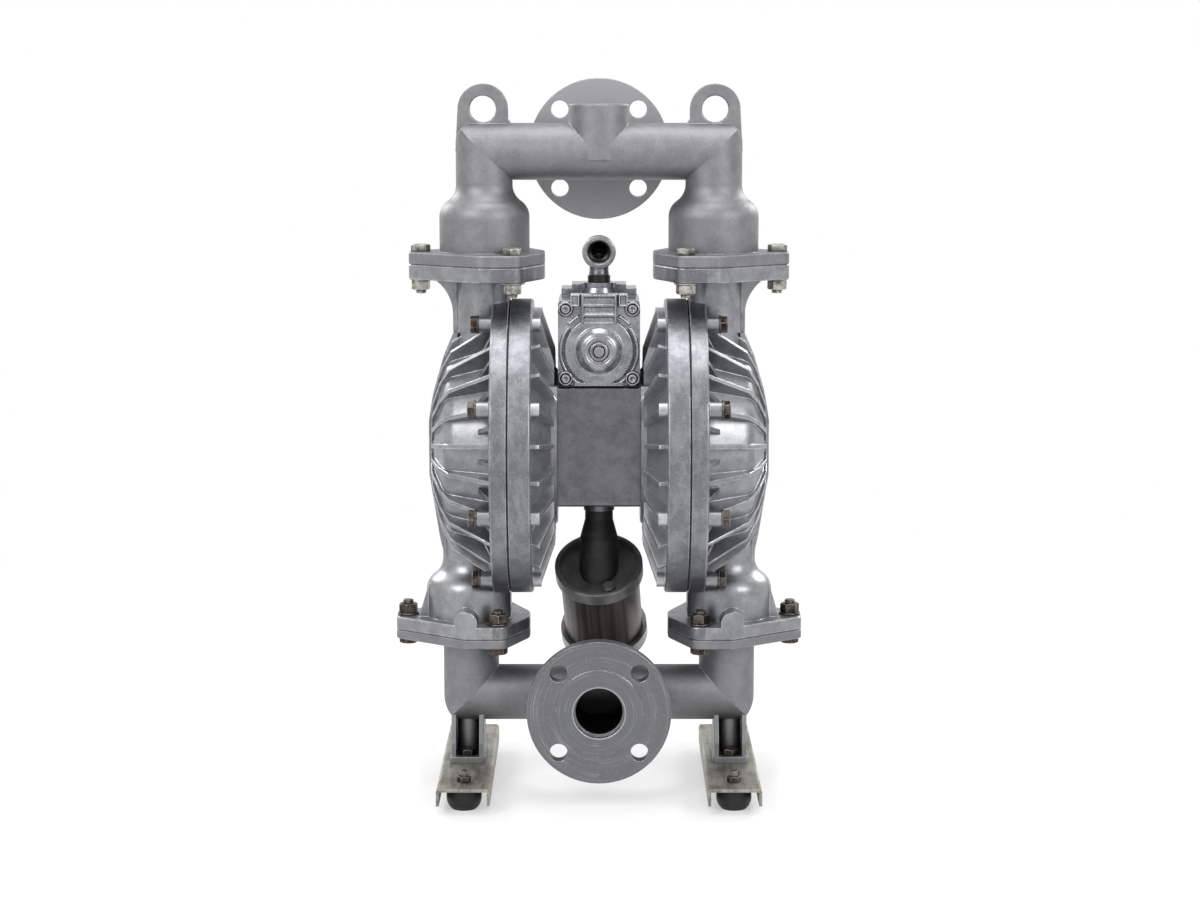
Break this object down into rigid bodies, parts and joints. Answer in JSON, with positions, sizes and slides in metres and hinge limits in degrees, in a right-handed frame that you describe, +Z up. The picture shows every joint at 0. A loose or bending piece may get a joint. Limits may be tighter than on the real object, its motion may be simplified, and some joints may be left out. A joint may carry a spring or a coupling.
{
  "type": "air operated double diaphragm pump",
  "caption": "Air driven double diaphragm pump with flanged ports, ball checks, centre air valve, exhaust muffler and rails on rubber feet.",
  "frame": {"origin": "centre of the footprint on the floor, under the middle of the bounding box", "axes": "+Z up, +X to the right chamber as seen from the front, +Y to the rear, where the discharge flange points; the suction flange faces -Y"},
  "size_m": [0.4368, 0.315, 0.7602],
  "materials": {
    "cast_aluminium": "sand cast, matte",
    "machined_aluminium": "die cast and machined, satin",
    "steel": "turned steel",
    "zinc_yellow": "yellow zinc plate, dull",
    "rubber": "moulded, matte",
    "bronze": "turned",
    "stainless": "cast and machined, satin",
    "muffler_metal": "rolled sheet, streaked brown",
    "muffler_plastic": "moulded, satin",
    "muffler_felt": "porous sleeve"
  },
  "bodies": {
    "housing": {"air_chamber_left": "cast_aluminium", "air_chamber_right": "cast_aluminium", "fluid_chamber_left": "cast_aluminium", "fluid_chamber_right": "cast_aluminium", "discharge_manifold": "cast_aluminium", "suction_manifold": "cast_aluminium", "centre_body": "cast_aluminium", "valve_body": "machined_aluminium", "valve_cap_front": "machined_aluminium", "valve_cap_rear": "machined_aluminium", "spool_sleeve": "machined_aluminium", "pilot_sleeve": "machined_aluminium", "air_chamber_screws": "steel", "valve_cap_screws": "steel", "muffler_screws": "steel", "clamp_bolts_left": "zinc_yellow", "clamp_bolts_right": "zinc_yellow", "clamp_washers_left": "zinc_yellow", "clamp_washers_right": "zinc_yellow", "lower_joint_bolts": "zinc_yellow", "lower_joint_nuts": "zinc_yellow", "lower_joint_washers": "zinc_yellow", "upper_joint_bolts": "zinc_yellow", "upper_joint_nuts": "zinc_yellow", "upper_joint_washers": "zinc_yellow", "rail_bolts": "zinc_yellow", "rail_nuts": "zinc_yellow", "foot_studs": "zinc_yellow", "foot_nuts": "zinc_yellow", "base_rail_left": "zinc_yellow", "base_rail_right": "zinc_yellow", "diaphragm_left": "rubber", "diaphragm_right": "rubber", "rubber_feet": "rubber", "exhaust_boot": "rubber", "valve_gasket": "rubber", "rod_seals": "rubber", "seat_rings_lower": "rubber", "seat_rings_upper": "rubber", "rod_bushings": "bronze", "inlet_bushing": "bronze", "ball_seats_lower": "stainless", "ball_seats_upper": "stainless", "inlet_elbow": "stainless", "muffler_shell": "muffler_metal", "muffler_cap_top": "muffler_plastic", "muffler_cap_bottom": "muffler_plastic", "muffler_element": "muffler_felt"},
    "shuttle": {"centre_rod": "steel", "inner_clamp_discs": "machined_aluminium", "outer_clamp_discs": "machined_aluminium", "rod_end_nuts": "steel"},
    "pilot": {"pilot_rod": "steel"},
    "ball_lower_left": {"check_ball_lower_left": "rubber"},
    "ball_lower_right": {"check_ball_lower_right": "rubber"},
    "ball_upper_left": {"check_ball_upper_left": "rubber"},
    "ball_upper_right": {"check_ball_upper_right": "rubber"},
    "spool": {"main_spool": "machined_aluminium"},
    "button": {"reset_button": "muffler_plastic"}
  },
  "joints": [
    {"name": "shuttle_slide", "type": "slide", "parent": "housing", "child": "shuttle", "axis": [1, 0, 0], "range_m": [-0.016, 0.016], "deforming": ["diaphragm_left", "diaphragm_right"]},
    {"name": "pilot_slide", "type": "slide", "parent": "housing", "child": "pilot", "axis": [1, 0, 0], "range_m": [-0.003, 0.003]},
    {"name": "ball_lower_left_lift", "type": "slide", "parent": "housing", "child": "ball_lower_left", "axis": [0, 0, 1], "range_m": [0, 0.015]},
    {"name": "ball_lower_right_lift", "type": "slide", "parent": "housing", "child": "ball_lower_right", "axis": [0, 0, 1], "range_m": [0, 0.015]},
    {"name": "ball_upper_left_lift", "type": "slide", "parent": "housing", "child": "ball_upper_left", "axis": [0, 0, 1], "range_m": [0, 0.015]},
    {"name": "ball_upper_right_lift", "type": "slide", "parent": "housing", "child": "ball_upper_right", "axis": [0, 0, 1], "range_m": [0, 0.015]},
    {"name": "spool_slide", "type": "slide", "parent": "housing", "child": "spool", "axis": [0, 1, 0], "range_m": [-0.008, 0.008]},
    {"name": "button_press", "type": "slide", "parent": "housing", "child": "button", "axis": [0, 1, 0], "range_m": [0, 0.004], "stiffness_N_per_m": 600, "springref_m": -0.002}
  ],
  "couplings": [
    {"joint": "pilot_slide", "follows": "shuttle_slide", "ratio": 0.1875}
  ]
}
